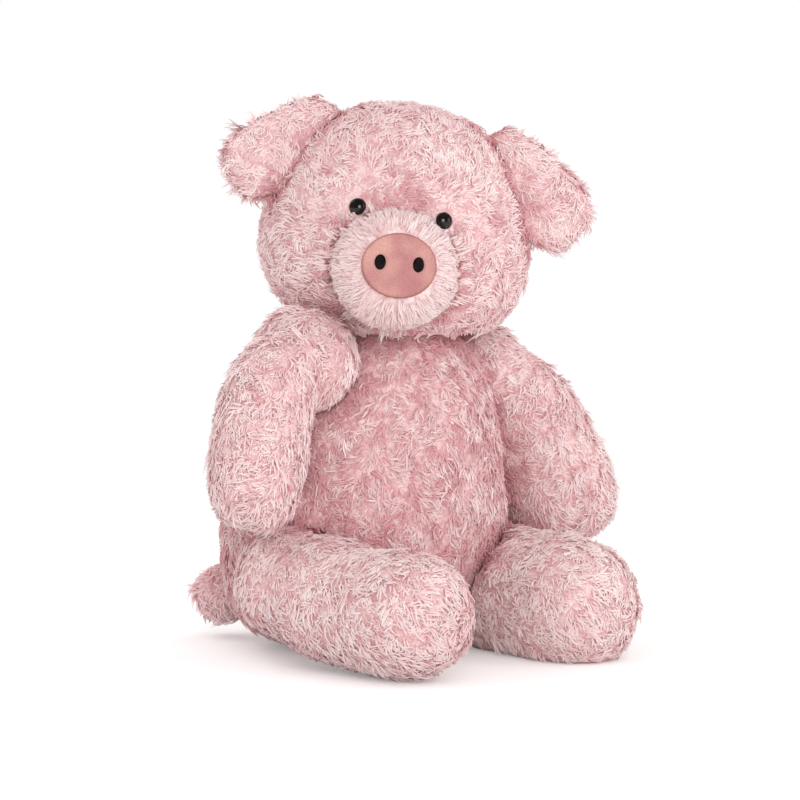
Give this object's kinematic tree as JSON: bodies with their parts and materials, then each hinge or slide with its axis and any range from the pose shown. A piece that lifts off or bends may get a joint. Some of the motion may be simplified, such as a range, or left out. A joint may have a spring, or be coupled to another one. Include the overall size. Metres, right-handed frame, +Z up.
{
  "type": "plush pig",
  "caption": "Seated soft toy pig of curly pink plush with hanging ears, round suede snout and short tail; head, limbs, ears and tail move at their seams.",
  "frame": {"origin": "middle of the flat seat face, on the surface that the pig sits on", "axes": "+Z up, -Y out of the chest, +X towards the pig's own left hand; the head is turned to its right"},
  "size_m": [0.2253, 0.2008, 0.2481],
  "materials": {
    "pink_plush": "curly pile, matt",
    "pale_plush": "short pile, matt",
    "rose_plush": "short pile, matt",
    "rose_suede": "brushed suede cloth, matt",
    "dark_thread": "embroidery thread, satin",
    "black_plastic": "polished",
    "clear_plastic": "as moulded",
    "fibre_filling": "loose fibre",
    "linen_bag": "plain cloth"
  },
  "bodies": {
    "torso": {"body_cover": "pink_plush", "body_filling": "fibre_filling", "seat_bead_bag": "linen_bag"},
    "head": {"head_cover": "pink_plush", "head_filling": "fibre_filling", "muzzle_cover": "pale_plush", "muzzle_filling": "fibre_filling", "snout_pad": "rose_suede", "nostril_left": "dark_thread", "nostril_right": "dark_thread", "eye_left": "black_plastic", "eye_washer_left": "clear_plastic", "eye_right": "black_plastic", "eye_washer_right": "clear_plastic"},
    "ear_left": {"ear_left_front": "pink_plush", "ear_left_back": "pink_plush"},
    "ear_right": {"ear_right_front": "pink_plush", "ear_right_back": "pink_plush"},
    "arm_left": {"arm_left_cover": "pink_plush", "arm_left_filling": "fibre_filling"},
    "arm_right": {"arm_right_cover": "pink_plush", "arm_right_filling": "fibre_filling"},
    "leg_left": {"leg_left_cover": "pink_plush", "leg_left_filling": "fibre_filling"},
    "leg_right": {"leg_right_cover": "pink_plush", "leg_right_filling": "fibre_filling"},
    "tail": {"tail_cover": "rose_plush", "tail_filling": "fibre_filling"}
  },
  "joints": [
    {"name": "head_turn", "type": "hinge", "parent": "torso", "child": "head", "pos_m": [0.008, -0.032, 0.143], "axis": [0, 0, 1], "range_deg": [-15, 75], "stiffness_Nm_per_rad": 0.3},
    {"name": "ear_left_flap", "type": "hinge", "parent": "head", "child": "ear_left", "pos_m": [0.03685, -0.05933, 0.22119], "axis": [0.476, -0.2787, 0.8341], "range_deg": [-20, 25], "stiffness_Nm_per_rad": 0.03},
    {"name": "ear_right_flap", "type": "hinge", "parent": "head", "child": "ear_right", "pos_m": [-0.01416, -0.01576, 0.23235], "axis": [0.1221, -0.2321, -0.965], "range_deg": [-20, 25], "stiffness_Nm_per_rad": 0.03},
    {"name": "arm_left_raise", "type": "hinge", "parent": "torso", "child": "arm_left", "pos_m": [0.0586, -0.033, 0.1235], "axis": [0, -1, 0], "range_deg": [-6, 45], "stiffness_Nm_per_rad": 0.3},
    {"name": "arm_right_raise", "type": "hinge", "parent": "torso", "child": "arm_right", "pos_m": [-0.0474, -0.033, 0.1331], "axis": [0, 1, 0], "range_deg": [-6, 45], "stiffness_Nm_per_rad": 0.3},
    {"name": "leg_left_splay", "type": "hinge", "parent": "torso", "child": "leg_left", "pos_m": [0.055, -0.033, 0.02572], "axis": [0, 0, 1], "range_deg": [-6, 14], "stiffness_Nm_per_rad": 0.3},
    {"name": "leg_right_splay", "type": "hinge", "parent": "torso", "child": "leg_right", "pos_m": [-0.055, -0.033, 0.0305], "axis": [0, 0, -1], "range_deg": [-6, 14], "stiffness_Nm_per_rad": 0.3},
    {"name": "tail_wag", "type": "hinge", "parent": "torso", "child": "tail", "pos_m": [-0.01, 0.04445, 0.019], "axis": [0, 0, 1], "range_deg": [-25, 25], "stiffness_Nm_per_rad": 0.02}
  ]
}
